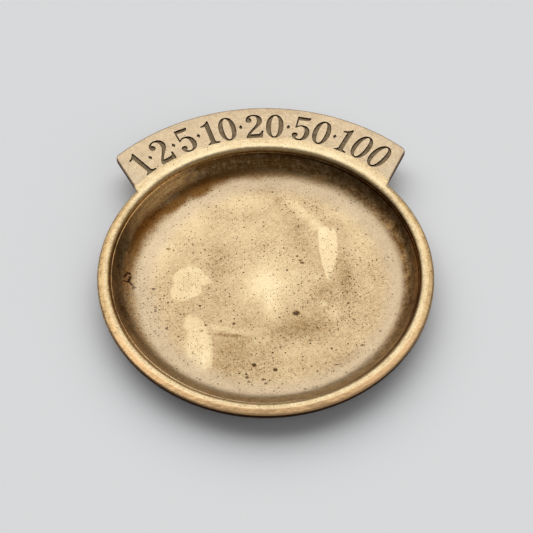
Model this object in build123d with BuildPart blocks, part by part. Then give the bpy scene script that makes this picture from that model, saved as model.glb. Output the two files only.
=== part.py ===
from build123d import *
from math import asin, cos, hypot, radians, sin, tan
import os

# Coin tray in cast brass, in millimetres: a round dish with a rolled rim, and an engraved tab behind it.
# The origin is the middle of the footprint on the table, with +Y towards the tab and +Z up.

os.makedirs("parts", exist_ok=True)

# Dish
rim_radius = 70.0  # outer edge of the rim
rim_width = 3.2  # from the end of the inner rounding to the outer edge
rim_land_width = 0.6  # flat top of the rim, which the tab's face runs into
rim_fall = 0.7  # drop of the rim's top from the land to the outer edge
rim_edge_height = 1.8  # height of the rim's outer edge
rim_undercut = 0.6  # drop of the rim's underside from its outer edge to the wall
rim_crest_radius = 3.0
rim_break_radius = 1.4
rim_edge_radius = 1.2
rim_lower_edge_radius = 0.5
neck_radius = 1.5
dish_depth = 8.2
floor_thickness = 2.8
wall_thickness = 2.8
bowl_radius = 12.0  # between floor and wall, inside
foot_radius = 5.0  # between base and wall, outside
wall_slope = radians(55)  # of the wall above the table

# Tab
tab_thickness = 2.4
tab_edge_radius = 0.5
tab_corner_radius = 3.2
tab_foot_margin = 1.75  # brass between the rim's outer edge and the feet of the numerals
tab_head_margin = 4.2  # brass between the heads of the numerals and the tab's outer edge
tab_end_margin = 5.8  # brass between the first or last numeral and the tab's side
tab_side_turn = radians(21.2)  # how far the tab's sides turn in from the radial direction

# Numerals
cap_height = 14.25
digit_width = 8.0
one_width = 6.1
digit_gap = 1.3
value_gap = 4.4
lozenge_width = 1.7
lozenge_height = 2.8
engraving_depth = 1.0
infill_thickness = 0.3  # dark filler left on the floor of each recess

# Felt pads
pad_radius = 6.0
pad_thickness = 1.5
pad_edge_radius = 0.3
pad_circle_radius = 44.0  # of the pads' centres about the dish's axis

# Outlines of the numerals, in shares of a digit's width and of the cap height. A pair is a corner that a
# straight line leads to, and three pairs are the two control points and the end of a curve.
one_outline_shares = [
    (0.00, 0.000),
    (1.00, 0.000),
    (1.00, 0.062),
    [(0.86, 0.066), (0.70, 0.080), (0.70, 0.140)],
    (0.70, 1.000),
    (0.58, 1.000),
    [(0.45, 0.915), (0.28, 0.862), (0.02, 0.845)],
    (0.02, 0.785),
    (0.33, 0.800),
    (0.33, 0.140),
    [(0.33, 0.080), (0.16, 0.066), (0.00, 0.062)],
]
two_outline_shares = [
    (0.02, 0.745),
    [(0.02, 0.900), (0.20, 1.000), (0.47, 1.000)],
    [(0.78, 1.000), (0.96, 0.895), (0.96, 0.735)],
    [(0.96, 0.510), (0.50, 0.400), (0.27, 0.165)],
    (0.68, 0.165),
    [(0.80, 0.165), (0.86, 0.215), (0.885, 0.300)],
    (0.99, 0.300),
    (0.93, 0.000),
    (0.02, 0.000),
    (0.02, 0.070),
    [(0.16, 0.330), (0.67, 0.490), (0.67, 0.740)],
    [(0.67, 0.865), (0.59, 0.940), (0.45, 0.940)],
    [(0.36, 0.940), (0.27, 0.915), (0.24, 0.868)],
    [(0.34, 0.850), (0.375, 0.790), (0.36, 0.735)],
    [(0.345, 0.685), (0.28, 0.655), (0.20, 0.655)],
    [(0.09, 0.655), (0.02, 0.690), (0.02, 0.745)],
]
five_outline_shares = [
    (0.13, 1.000),
    (0.90, 1.000),
    [(0.90, 0.920), (0.84, 0.850), (0.70, 0.850)],
    (0.23, 0.850),
    (0.21, 0.585),
    [(0.28, 0.625), (0.38, 0.650), (0.51, 0.650)],
    [(0.82, 0.650), (0.98, 0.520), (0.98, 0.335)],
    [(0.98, 0.130), (0.78, 0.000), (0.46, 0.000)],
    [(0.19, 0.000), (0.02, 0.085), (0.02, 0.205)],
    [(0.02, 0.265), (0.09, 0.305), (0.195, 0.305)],
    [(0.30, 0.305), (0.36, 0.265), (0.36, 0.210)],
    [(0.36, 0.165), (0.31, 0.130), (0.245, 0.120)],
    [(0.29, 0.080), (0.36, 0.060), (0.45, 0.060)],
    [(0.61, 0.060), (0.69, 0.165), (0.69, 0.335)],
    [(0.69, 0.505), (0.61, 0.590), (0.45, 0.590)],
    [(0.35, 0.590), (0.26, 0.560), (0.205, 0.505)],
    (0.11, 0.505),
]
zero_outline_shares = [
    (0.50, 1.000),
    [(0.80, 1.000), (1.00, 0.790), (1.00, 0.500)],
    [(1.00, 0.210), (0.80, 0.000), (0.50, 0.000)],
    [(0.20, 0.000), (0.00, 0.210), (0.00, 0.500)],
    [(0.00, 0.790), (0.20, 1.000), (0.50, 1.000)],
]
zero_counter_shares = [
    (0.50, 0.940),
    [(0.64, 0.940), (0.715, 0.760), (0.715, 0.500)],
    [(0.715, 0.240), (0.64, 0.060), (0.50, 0.060)],
    [(0.36, 0.060), (0.285, 0.240), (0.285, 0.500)],
    [(0.285, 0.760), (0.36, 0.940), (0.50, 0.940)],
]
digit_shares = {
    "0": zero_outline_shares,
    "1": one_outline_shares,
    "2": two_outline_shares,
    "5": five_outline_shares,
}
digit_widths = {"0": digit_width, "1": one_width, "2": digit_width, "5": digit_width}
coin_values = ["1", "2", "5", "10", "20", "50", "100"]

# Heights above the table
base_height = pad_thickness
floor_height = base_height + floor_thickness
crest_height = floor_height + dish_depth
recess_height = crest_height - engraving_depth

# Radii about the dish's axis
land_radius = rim_radius - rim_width
tab_root_radius = land_radius + rim_land_width / 2
numeral_foot_radius = rim_radius + tab_foot_margin
numeral_middle_radius = numeral_foot_radius + cap_height / 2
tab_radius = numeral_foot_radius + cap_height + tab_head_margin

# The footprint reaches from the rim in front to the tab's outer edge behind
dish_y = (rim_radius - tab_radius) / 2
dish_axis = Axis((0, dish_y, 0), (0, 0, 1))


def value_length(value):
    # Room that a value's digits take along the arc
    widths = [digit_widths[digit] for digit in value]
    return sum(widths) + digit_gap * (len(value) - 1)


row_length = sum(value_length(value) for value in coin_values) + value_gap * (len(coin_values) - 1)


def arc_plane(distance, radius, height):
    # Plane whose y axis points away from the dish, at a distance along the numerals' arc from its middle
    angle = distance / numeral_middle_radius
    origin = (radius * sin(angle), dish_y + radius * cos(angle), height)
    return Plane(origin=origin, x_dir=(cos(angle), -sin(angle), 0), z_dir=(0, 0, 1))


def outline_face(shares, width, plane):
    # Face inside an outline that is centred on the plane's y axis and stands on its x axis
    def place(share):
        return ((share[0] - 0.5) * width, share[1] * cap_height)

    with BuildSketch(plane) as face:
        with BuildLine():
            last = place(shares[0])
            for step in shares[1:]:
                if isinstance(step, list):
                    curve = [place(share) for share in step]
                    Bezier(last, *curve)
                    last = curve[-1]
                else:
                    Line(last, place(step))
                    last = place(step)
            if last != place(shares[0]):
                Line(last, place(shares[0]))
        make_face()
    return face.sketch


def digit_face(digit, plane):
    outline = outline_face(digit_shares[digit], digit_widths[digit], plane)
    if digit == "0":
        return outline - outline_face(zero_counter_shares, digit_width, plane)
    return outline


def value_faces(value, start, height):
    # Faces of a value's digits, the first of which starts at a distance along the arc
    faces = []
    for digit in value:
        width = digit_widths[digit]
        plane = arc_plane(start + width / 2, numeral_foot_radius, height)
        faces.append(digit_face(digit, plane))
        start += width + digit_gap
    return faces


def lozenge_face(distance, height):
    with BuildSketch(arc_plane(distance, numeral_middle_radius, height)) as face:
        with BuildLine():
            Polyline(
                (lozenge_width / 2, 0),
                (0, lozenge_height / 2),
                (-lozenge_width / 2, 0),
                (0, -lozenge_height / 2),
                close=True,
            )
        make_face()
    return face.sketch


# Where each value starts along the arc, and where the lozenges stand between the values
value_starts = {}
lozenge_places = []
next_start = -row_length / 2
for value in coin_values:
    value_starts[value] = next_start
    next_start += value_length(value) + value_gap
    lozenge_places.append(next_start - value_gap / 2)
lozenge_places.pop()


def tab_side_point(radius):
    # Point where the tab's straight right side crosses a radius about the dish's axis
    half_angle = (row_length / 2 + tab_end_margin) / numeral_middle_radius
    offset = numeral_middle_radius * sin(tab_side_turn)
    angle = half_angle - tab_side_turn + asin(offset / radius)
    return (radius * sin(angle), radius * cos(angle))


def mirrored(point):
    return (-point[0], point[1])


def radius_of(point):
    # Distance of a point from the dish's axis
    return hypot(point.X, point.Y - dish_y)


# Dish profile: corners from the middle of the floor, over the rim and back under the base
wall_run = 1 / tan(wall_slope)
crest_corner_radius = land_radius - rim_crest_radius * tan(wall_slope / 2)
outer_crest_radius = crest_corner_radius + wall_thickness / sin(wall_slope)
rim_top_height = crest_height - rim_fall
rim_bottom_height = rim_top_height - rim_edge_height
neck_height = rim_bottom_height - rim_undercut
profile_corners = [
    (0, floor_height),
    (crest_corner_radius - dish_depth * wall_run, floor_height),
    (crest_corner_radius, crest_height),
    (land_radius + rim_land_width, crest_height),
    (rim_radius, rim_top_height),
    (rim_radius, rim_bottom_height),
    (outer_crest_radius - (crest_height - neck_height) * wall_run, neck_height),
    (outer_crest_radius - (crest_height - base_height) * wall_run, base_height),
    (0, base_height),
]
profile_radii = [
    bowl_radius,
    rim_crest_radius,
    rim_break_radius,
    rim_edge_radius,
    rim_lower_edge_radius,
    neck_radius,
    foot_radius,
]

# Tray casting: the tab with its rounded edges, the dish turned about its axis, and the engraving
with BuildPart() as tray_casting:
    with BuildSketch(Plane((0, dish_y, crest_height))) as tab_outline:
        with BuildLine():
            root_point = tab_side_point(tab_root_radius)
            corner_point = tab_side_point(tab_radius)
            ThreePointArc(mirrored(corner_point), (0, tab_radius), corner_point)
            Line(corner_point, root_point)
            ThreePointArc(root_point, (0, tab_root_radius), mirrored(root_point))
            Line(mirrored(root_point), mirrored(corner_point))
        make_face()
        fillet(tab_outline.vertices().group_by(Axis.Y)[-1], tab_corner_radius)
    extrude(amount=-tab_thickness)
    tab_edges = tray_casting.faces().filter_by(Axis.Z).edges()
    fillet(tab_edges.filter_by(lambda edge: radius_of(edge @ 0.5) > rim_radius), tab_edge_radius)
    with BuildSketch(Plane((0, dish_y, 0), x_dir=(1, 0, 0), z_dir=(0, -1, 0))):
        with BuildLine():
            section = FilletPolyline(*profile_corners, radius=profile_radii)
            Line(section @ 1, section @ 0)
        make_face()
    revolve(axis=dish_axis)
    for value, start in value_starts.items():
        for face in value_faces(value, start, crest_height):
            extrude(face, amount=-engraving_depth, mode=Mode.SUBTRACT)
    for place in lozenge_places:
        extrude(lozenge_face(place, crest_height), amount=-engraving_depth, mode=Mode.SUBTRACT)
tray_casting.part.label = "tray_casting"
export_step(tray_casting.part, "parts/tray_casting.step")

# Dark filler on the floor of each value's recesses, one solid for each digit
for value, start in value_starts.items():
    with BuildPart() as value_infill:
        for face in value_faces(value, start, recess_height):
            extrude(face, amount=infill_thickness)
    value_infill.part.label = f"value_{value}_infill"
    export_step(value_infill.part, f"parts/value_{value}_infill.step")

# Dark filler on the floor of each lozenge's recess
with BuildPart() as lozenge_infill:
    for place in lozenge_places:
        extrude(lozenge_face(place, recess_height), amount=infill_thickness)
lozenge_infill.part.label = "lozenge_infill"
export_step(lozenge_infill.part, "parts/lozenge_infill.step")

# Felt pads under the dish's floor, between table and base
pad_angles = {
    "rear_right": radians(45),
    "rear_left": radians(135),
    "front_left": radians(225),
    "front_right": radians(315),
}
for corner, angle in pad_angles.items():
    pad_x = pad_circle_radius * cos(angle)
    pad_y = dish_y + pad_circle_radius * sin(angle)
    with BuildPart() as felt_pad:
        with BuildSketch(Plane((pad_x, pad_y, 0))):
            Circle(pad_radius)
        extrude(amount=pad_thickness)
        fillet(felt_pad.edges().group_by(Axis.Z)[0], pad_edge_radius)
    felt_pad.part.label = f"felt_pad_{corner}"
    export_step(felt_pad.part, f"parts/felt_pad_{corner}.step")
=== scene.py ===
from math import atan2, cos, hypot, pi, radians, sin, sqrt, tan

import bmesh
import bpy
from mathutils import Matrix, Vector


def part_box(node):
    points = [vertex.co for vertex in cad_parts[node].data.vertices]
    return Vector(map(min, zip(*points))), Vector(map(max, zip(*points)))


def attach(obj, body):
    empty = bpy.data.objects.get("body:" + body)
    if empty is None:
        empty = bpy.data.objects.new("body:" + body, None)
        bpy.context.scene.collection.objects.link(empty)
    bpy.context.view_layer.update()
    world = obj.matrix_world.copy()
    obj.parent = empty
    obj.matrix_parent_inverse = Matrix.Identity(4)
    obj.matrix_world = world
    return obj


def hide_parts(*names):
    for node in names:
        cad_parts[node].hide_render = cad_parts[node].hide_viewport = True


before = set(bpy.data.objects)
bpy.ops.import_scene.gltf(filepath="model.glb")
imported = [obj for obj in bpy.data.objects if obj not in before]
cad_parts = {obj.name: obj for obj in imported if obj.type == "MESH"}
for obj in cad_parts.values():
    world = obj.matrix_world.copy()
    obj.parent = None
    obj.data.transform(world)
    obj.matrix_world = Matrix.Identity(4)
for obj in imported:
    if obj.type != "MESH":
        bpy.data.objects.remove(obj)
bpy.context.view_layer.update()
mm = 0.001
nearly = 0.01 * mm  # closer than this is the same height or the same point

trayLow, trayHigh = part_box("tray_casting")
rimRadius = (trayHigh.x - trayLow.x) / 2
crestHeight = trayHigh.z
baseHeight = trayLow.z
dishY = trayLow.y + rimRadius
tabRadius = trayHigh.y - dishY
print("frame loaded, rim radius", round(rimRadius / mm, 2), "mm")


# Small tools that every piece uses

def selectOnly(piece):
    bpy.ops.object.select_all(action="DESELECT")
    piece.select_set(True)
    bpy.context.view_layer.objects.active = piece


def pick(piece, kind, test):
    # In edit mode, selects the vertices, edges or faces whose middle passes the test
    bpy.ops.mesh.select_mode(type=kind)
    bpy.ops.mesh.select_all(action="DESELECT")
    mesh = bmesh.from_edit_mesh(piece.data)
    if kind == "VERT":
        found = [vert for vert in mesh.verts if test(vert.co)]
    elif kind == "EDGE":
        found = [edge for edge in mesh.edges if test((edge.verts[0].co + edge.verts[1].co) / 2)]
    else:
        found = [face for face in mesh.faces if test(face.calc_center_median())]
    for part in found:
        part.select_set(True)
    mesh.select_flush_mode()
    bmesh.update_edit_mesh(piece.data)
    return len(found)


def fromAxis(point):
    # Distance of a point from the dish's upright axis
    return hypot(point.x, point.y - dishY)


def faceOutwards():
    # Ends an edit: all faces point outwards
    bpy.ops.mesh.select_all(action="SELECT")
    bpy.ops.mesh.normals_make_consistent(inside=False)
    bpy.ops.object.mode_set(mode="OBJECT")


def startRings(steps, radius, centre):
    # A disc in edit mode, with its outline selected to be extruded ring by ring
    bpy.ops.object.select_all(action="DESELECT")
    bpy.ops.mesh.primitive_circle_add(vertices=steps, radius=radius, fill_type="TRIFAN", location=centre)
    piece = bpy.context.object
    bpy.ops.object.transform_apply(location=True, rotation=True, scale=True)
    bpy.ops.object.mode_set(mode="EDIT")
    pick(piece, "VERT", lambda point: hypot(point.x - centre[0], point.y - centre[1]) > radius / 2)
    return piece


def nextRing(growth, centre, move):
    bpy.ops.mesh.extrude_edges_move()
    bpy.ops.transform.resize(value=(growth, growth, 1), center_override=centre)
    bpy.ops.transform.translate(value=move)


def closeRings():
    # The last ring shrinks to a point, and the mesh is closed
    bpy.ops.mesh.merge(type="CENTER")
    faceOutwards()


def cut(piece, tool, operation):
    # Joins or cuts with a second closed mesh, which is then deleted
    selectOnly(piece)
    modifier = piece.modifiers.new("cut", "BOOLEAN")
    modifier.object = tool
    modifier.operation = operation
    modifier.solver = "EXACT"
    bpy.ops.object.modifier_apply(modifier=modifier.name)
    bpy.data.objects.remove(tool)


# Tray casting: the dish is extruded ring by ring from the middle of its floor, over the rim to the base

dish = {
    "ringSteps": 480,
    "centreRing": 1.5,
    "floorRings": 38,
    "depth": 8.2,
    "wallSlope": 55,  # degrees above the table
    "wallThickness": 2.8,
    "bowlRound": 12.0,
    "crestRound": 3.0,
    "landWidth": 0.6,
    "ledgeDepth": 1.7,  # under the crest
    "ledgeWidth": 0.3,
    "ledgeRound": 0.3,
    "ledgeInnerRound": 0.2,
    "rimWidth": 3.0,
    "rimFall": 0.7,
    "edgeHeight": 1.8,
    "edgeRound": 1.2,
    "lowerEdgeRound": 0.5,
    "breakRound": 1.4,
    "undercut": 0.6,
    "neckRound": 1.5,
    "footRound": 5.0,
    "bowlShift": (-0.10, 0.55),  # the bowl's mouth was ground a little off the middle of the rim
    "arcStep": 6,  # degrees of each rounding from ring to ring
    "creaseAngle": 32,  # degrees, past which an edge stays sharp
}


def roundedPath(corners, rounds, step):
    # Points along straight runs whose corners are rounded, as radius and height
    points = [corners[0]]
    for before, corner, after, radius in zip(corners, corners[1:], corners[2:], rounds):
        inward = Vector((before[0] - corner[0], before[1] - corner[1])).normalized()
        onward = Vector((after[0] - corner[0], after[1] - corner[1])).normalized()
        turn = pi - inward.angle(onward)
        reach = radius * tan(turn / 2)
        bisector = (inward + onward).normalized()
        centre = Vector(corner) + bisector * hypot(radius, reach)
        start = Vector(corner) + inward * reach - centre
        end = Vector(corner) + onward * reach - centre
        side = 1 if start.x * end.y - start.y * end.x > 0 else -1
        count = max(2, round(turn / radians(step)))
        for number in range(count + 1):
            angle = side * turn * number / count
            x = start.x * cos(angle) - start.y * sin(angle)
            y = start.x * sin(angle) + start.y * cos(angle)
            points.append((centre.x + x, centre.y + y))
    points.append(corners[-1])
    return points


def dishPath():
    slope = radians(dish["wallSlope"])
    run = 1 / tan(slope)
    floorZ = crestHeight - dish["depth"] * mm
    landR = rimRadius - dish["rimWidth"] * mm
    crestR = landR - dish["crestRound"] * mm * tan(slope / 2)
    ledgeR = crestR - dish["ledgeDepth"] * mm * run
    ledgeZ = crestHeight - dish["ledgeDepth"] * mm
    bowlR = crestR - dish["ledgeWidth"] * mm
    outerR = crestR + dish["wallThickness"] * mm / sin(slope)
    topZ = crestHeight - dish["rimFall"] * mm
    bottomZ = topZ - dish["edgeHeight"] * mm
    neckZ = bottomZ - dish["undercut"] * mm
    corners = [
        (dish["centreRing"] * mm, floorZ),
        (bowlR - dish["depth"] * mm * run, floorZ),
        (ledgeR - dish["ledgeWidth"] * mm, ledgeZ),
        (ledgeR, ledgeZ),
        (crestR, crestHeight),
        (landR + dish["landWidth"] * mm, crestHeight),
        (rimRadius, topZ),
        (rimRadius, bottomZ),
        (outerR - (crestHeight - neckZ) * run, neckZ),
        (outerR - (crestHeight - baseHeight) * run, baseHeight),
        (dish["centreRing"] * mm, baseHeight),
    ]
    names = ["bowlRound", "ledgeRound", "ledgeInnerRound", "crestRound", "breakRound", "edgeRound"]
    names += ["lowerEdgeRound", "neckRound", "footRound"]
    path = roundedPath(corners, [dish[name] * mm for name in names], dish["arcStep"])
    rings = dish["floorRings"]
    start, edge = path[0][0], path[1][0]
    floor = [(start + (edge - start) * number / rings, floorZ) for number in range(rings)]
    return floor + path[1:]


def bowlShare(radius, height, pastCrest):
    # How far the ring at this place follows the shift of the bowl's mouth
    if pastCrest:
        return max(0, min(1, (rimRadius - radius) / (dish["rimWidth"] * mm)))
    return max(0, 1 - (crestHeight - height) / (dish["depth"] * mm))


def makeDish():
    path = dishPath()
    radius, height = path[0]
    crestR = rimRadius - dish["rimWidth"] * mm
    shiftX, shiftY = dish["bowlShift"]
    share = 0
    pastCrest = False
    piece = startRings(dish["ringSteps"], radius, (0, dishY, height))
    piece.name = "brass_tray"
    for nextRadius, nextHeight in path[1:]:
        pastCrest = pastCrest or nextRadius > crestR
        nextShare = bowlShare(nextRadius, nextHeight, pastCrest)
        centre = (share * shiftX * mm, dishY + share * shiftY * mm, height)
        move = (nextShare - share) * mm
        nextRing(nextRadius / radius, centre, (move * shiftX, move * shiftY, nextHeight - height))
        radius, height, share = nextRadius, nextHeight, nextShare
        if pastCrest and nextRadius > rimRadius - nearly:
            shiftX = shiftY = 0
    closeRings()
    return piece


# Numerals: their outlines in shares of a digit's width and of the cap height. A pair is a corner that a
# straight line leads to, and three pairs are the two handles and the end of a curve.

numerals = {
    "values": ["1", "2", "5", "10", "20", "50", "100"],
    "capHeight": 14.25,
    "widths": {"0": 8.0, "1": 6.1, "2": 8.0, "5": 8.0},
    "digitGap": 1.3,
    "valueGap": 4.4,
    "footMargin": 1.75,
    "lozengeWidth": 1.7,
    "lozengeHeight": 2.8,
    "depth": 1.0,
    "curveSteps": 7,
    "outlines": {
        "0": [
            [
                (0.50, 1.000),
                [(0.80, 1.000), (1.00, 0.790), (1.00, 0.500)],
                [(1.00, 0.210), (0.80, 0.000), (0.50, 0.000)],
                [(0.20, 0.000), (0.00, 0.210), (0.00, 0.500)],
                [(0.00, 0.790), (0.20, 1.000), (0.50, 1.000)],
            ],
            [
                (0.50, 0.940),
                [(0.64, 0.940), (0.715, 0.760), (0.715, 0.500)],
                [(0.715, 0.240), (0.64, 0.060), (0.50, 0.060)],
                [(0.36, 0.060), (0.285, 0.240), (0.285, 0.500)],
                [(0.285, 0.760), (0.36, 0.940), (0.50, 0.940)],
            ],
        ],
        "1": [
            [
                (0.00, 0.000),
                (1.00, 0.000),
                (1.00, 0.062),
                [(0.86, 0.066), (0.70, 0.080), (0.70, 0.140)],
                (0.70, 1.000),
                (0.58, 1.000),
                [(0.45, 0.915), (0.28, 0.862), (0.02, 0.845)],
                (0.02, 0.785),
                (0.33, 0.800),
                (0.33, 0.140),
                [(0.33, 0.080), (0.16, 0.066), (0.00, 0.062)],
            ],
        ],
        "2": [
            [
                (0.02, 0.745),
                [(0.02, 0.900), (0.20, 1.000), (0.47, 1.000)],
                [(0.78, 1.000), (0.96, 0.895), (0.96, 0.735)],
                [(0.96, 0.510), (0.50, 0.400), (0.27, 0.165)],
                (0.68, 0.165),
                [(0.80, 0.165), (0.86, 0.215), (0.885, 0.300)],
                (0.99, 0.300),
                (0.93, 0.000),
                (0.02, 0.000),
                (0.02, 0.070),
                [(0.16, 0.330), (0.67, 0.490), (0.67, 0.740)],
                [(0.67, 0.865), (0.59, 0.940), (0.45, 0.940)],
                [(0.36, 0.940), (0.27, 0.915), (0.24, 0.868)],
                [(0.34, 0.850), (0.375, 0.790), (0.36, 0.735)],
                [(0.345, 0.685), (0.28, 0.655), (0.20, 0.655)],
                [(0.09, 0.655), (0.02, 0.690), (0.02, 0.745)],
            ],
        ],
        "5": [
            [
                (0.13, 1.000),
                (0.90, 1.000),
                [(0.90, 0.920), (0.84, 0.850), (0.70, 0.850)],
                (0.23, 0.850),
                (0.21, 0.585),
                [(0.28, 0.625), (0.38, 0.650), (0.51, 0.650)],
                [(0.82, 0.650), (0.98, 0.520), (0.98, 0.335)],
                [(0.98, 0.130), (0.78, 0.000), (0.46, 0.000)],
                [(0.19, 0.000), (0.02, 0.085), (0.02, 0.205)],
                [(0.02, 0.265), (0.09, 0.305), (0.195, 0.305)],
                [(0.30, 0.305), (0.36, 0.265), (0.36, 0.210)],
                [(0.36, 0.165), (0.31, 0.130), (0.245, 0.120)],
                [(0.29, 0.080), (0.36, 0.060), (0.45, 0.060)],
                [(0.61, 0.060), (0.69, 0.165), (0.69, 0.335)],
                [(0.69, 0.505), (0.61, 0.590), (0.45, 0.590)],
                [(0.35, 0.590), (0.26, 0.560), (0.205, 0.505)],
                (0.11, 0.505),
            ],
        ],
        "lozenge": [[(0.5, 0), (1, 0.5), (0.5, 1), (0, 0.5)]],
    },
}
footRadius = rimRadius + numerals["footMargin"] * mm
middleRadius = footRadius + numerals["capHeight"] * mm / 2


def valueLength(value):
    widths = [numerals["widths"][digit] for digit in value]
    return sum(widths) + numerals["digitGap"] * (len(value) - 1)


rowLength = sum(valueLength(value) for value in numerals["values"])
rowLength += numerals["valueGap"] * (len(numerals["values"]) - 1)


def drawOutlines(key, width, height, along, radius):
    # Flat mesh of one character, standing at a distance along the numerals' arc
    data = bpy.data.curves.new("outline", "CURVE")
    data.dimensions = "2D"
    data.fill_mode = "BOTH"
    data.resolution_u = numerals["curveSteps"]
    for outline in numerals["outlines"][key]:
        steps = outline[1:]
        closes = isinstance(steps[-1], list)
        corners = [outline[0]] + [step[-1] if isinstance(step, list) else step for step in steps]
        if closes:
            corners.pop()
        spline = data.splines.new("BEZIER")
        spline.bezier_points.add(len(corners) - 1)
        spline.use_cyclic_u = True

        def place(share):
            return ((share[0] - 0.5) * width * mm, share[1] * height * mm, 0)

        for number, corner in enumerate(corners):
            point = spline.bezier_points[number]
            point.co = place(corner)
            arriving = steps[number - 1] if number or closes else None
            leaving = steps[number] if number < len(steps) else None
            point.handle_left_type = "FREE" if isinstance(arriving, list) else "VECTOR"
            point.handle_right_type = "FREE" if isinstance(leaving, list) else "VECTOR"
            if isinstance(arriving, list):
                point.handle_left = place(arriving[1])
            if isinstance(leaving, list):
                point.handle_right = place(leaving[0])
    piece = bpy.data.objects.new("outline", data)
    bpy.context.scene.collection.objects.link(piece)
    angle = along * mm / middleRadius
    piece.location = (radius * sin(angle), dishY + radius * cos(angle), crestHeight)
    piece.rotation_euler = (0, 0, -angle)
    selectOnly(piece)
    bpy.ops.object.convert(target="MESH")
    bpy.ops.object.transform_apply(location=True, rotation=True, scale=True)
    return bpy.context.object


def characterGroups():
    # Flat meshes of each value's digits and of the lozenges between the values, by name
    groups = {}
    lozenges = []
    start = -rowLength / 2
    for value in numerals["values"]:
        digits = []
        for digit in value:
            width = numerals["widths"][digit]
            digits.append(drawOutlines(digit, width, numerals["capHeight"], start + width / 2, footRadius))
            start += width + numerals["digitGap"]
        groups["value_" + value] = digits
        start += numerals["valueGap"] - numerals["digitGap"]
        if value != numerals["values"][-1]:
            between = start - numerals["valueGap"] / 2
            inner = middleRadius - numerals["lozengeHeight"] * mm / 2
            lozenges.append(
                drawOutlines("lozenge", numerals["lozengeWidth"], numerals["lozengeHeight"], between, inner)
            )
    groups["lozenge"] = lozenges
    joined = {}
    for name, pieces in groups.items():
        selectOnly(pieces[0])
        for piece in pieces:
            piece.select_set(True)
        if len(pieces) > 1:
            bpy.ops.object.join()
        joined[name] = bpy.context.object
        joined[name].name = name
    return joined


def thicken(piece, low, high):
    # Turns a flat mesh on the tab's top into a closed one between two heights
    selectOnly(piece)
    bpy.ops.object.mode_set(mode="EDIT")
    bpy.ops.mesh.select_all(action="SELECT")
    bpy.ops.mesh.remove_doubles(threshold=nearly / 10)
    bpy.ops.transform.translate(value=(0, 0, low - crestHeight))
    bpy.ops.mesh.extrude_region_move(TRANSFORM_OT_translate={"value": (0, 0, high - low)})
    faceOutwards()


# Tab: its outline is drawn with straight runs and spun arcs, filled, thickened and rounded at its edges

tab = {
    "thickness": 2.4,
    "edgeRound": 0.5,
    "cornerRound": 3.2,
    "endMargin": 5.8,
    "sideTurn": 21.2,  # degrees from the radial direction
    "sink": 0.005,  # the tab's top lies this much under the rim's crest, too little to see
    "arcSteps": 96,
    "cornerSteps": 10,
    "edgeSteps": 4,
}
tabLean = (rowLength / 2 + tab["endMargin"]) * mm / middleRadius - radians(tab["sideTurn"])
tabOffset = middleRadius * sin(radians(tab["sideTurn"]))  # of a straight side from the axis


def makeTab():
    lean, offset = tabLean, tabOffset
    corner = tab["cornerRound"] * mm
    rootRadius = rimRadius - (dish["rimWidth"] - dish["landWidth"] / 2 - dish["bowlShift"][1]) * mm
    top = crestHeight - tab["sink"] * mm

    def place(across, along, side):
        # From the frame of a straight side to the tray's frame
        x = across * cos(lean) + along * sin(lean)
        return Vector((side * x, dishY + along * cos(lean) - across * sin(lean), top))

    centreAlong = sqrt((tabRadius - corner) ** 2 - (offset - corner) ** 2)
    rootAlong = sqrt(rootRadius**2 - offset**2)
    cornerSweep = pi / 2 - atan2(offset - corner, centreAlong)
    rootAngle = lean + atan2(offset, rootAlong)
    outerAngle = lean + atan2(offset - corner, centreAlong)
    axis = Vector((0, dishY, top))

    bpy.ops.object.select_all(action="DESELECT")
    bpy.ops.mesh.primitive_circle_add(vertices=3, radius=mm, location=place(offset, rootAlong, -1))
    piece = bpy.context.object
    bpy.ops.object.transform_apply(location=True, rotation=True, scale=True)
    bpy.ops.object.mode_set(mode="EDIT")
    bpy.ops.mesh.select_all(action="SELECT")
    bpy.ops.mesh.merge(type="CENTER")
    pen = {"at": place(offset, rootAlong, -1)}

    def lineTo(point):
        bpy.ops.mesh.extrude_vertices_move(TRANSFORM_OT_translate={"value": point - pen["at"]})
        pen["at"] = point

    def arcTo(centre, angle, steps, end):
        # A positive angle turns clockwise, seen from above
        bpy.ops.mesh.spin(steps=steps, angle=angle, center=centre, axis=(0, 0, 1))
        pen["at"] = end

    arcTo(axis, 2 * rootAngle, tab["arcSteps"], place(offset, rootAlong, 1))
    lineTo(place(offset, centreAlong, 1))
    shoulder = axis + Vector((sin(outerAngle), cos(outerAngle), 0)) * tabRadius
    arcTo(place(offset - corner, centreAlong, 1), -cornerSweep, tab["cornerSteps"], shoulder)
    shoulder = axis + Vector((-sin(outerAngle), cos(outerAngle), 0)) * tabRadius
    arcTo(axis, -2 * outerAngle, tab["arcSteps"], shoulder)
    centre = place(offset - corner, centreAlong, -1)
    arcTo(centre, -cornerSweep, tab["cornerSteps"], place(offset, centreAlong, -1))
    lineTo(place(offset, rootAlong, -1))
    bpy.ops.mesh.select_all(action="SELECT")
    bpy.ops.mesh.remove_doubles(threshold=nearly)
    bpy.ops.mesh.edge_face_add()
    bpy.ops.mesh.extrude_region_move(TRANSFORM_OT_translate={"value": (0, 0, -tab["thickness"] * mm)})
    bpy.ops.mesh.select_all(action="SELECT")
    bpy.ops.mesh.normals_make_consistent(inside=False)

    def onOutline(point):
        levels = (top, top - tab["thickness"] * mm)
        return fromAxis(point) > rimRadius and min(abs(point.z - level) for level in levels) < nearly

    pick(piece, "EDGE", onOutline)
    bpy.ops.mesh.bevel(offset=tab["edgeRound"] * mm, segments=tab["edgeSteps"], affect="EDGES")
    bpy.ops.object.mode_set(mode="OBJECT")
    return piece


# Material tools

smooth = {"interpolation_type": "SMOOTHSTEP", "clamp": False}  # eases in and out, and never passes its ends


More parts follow.
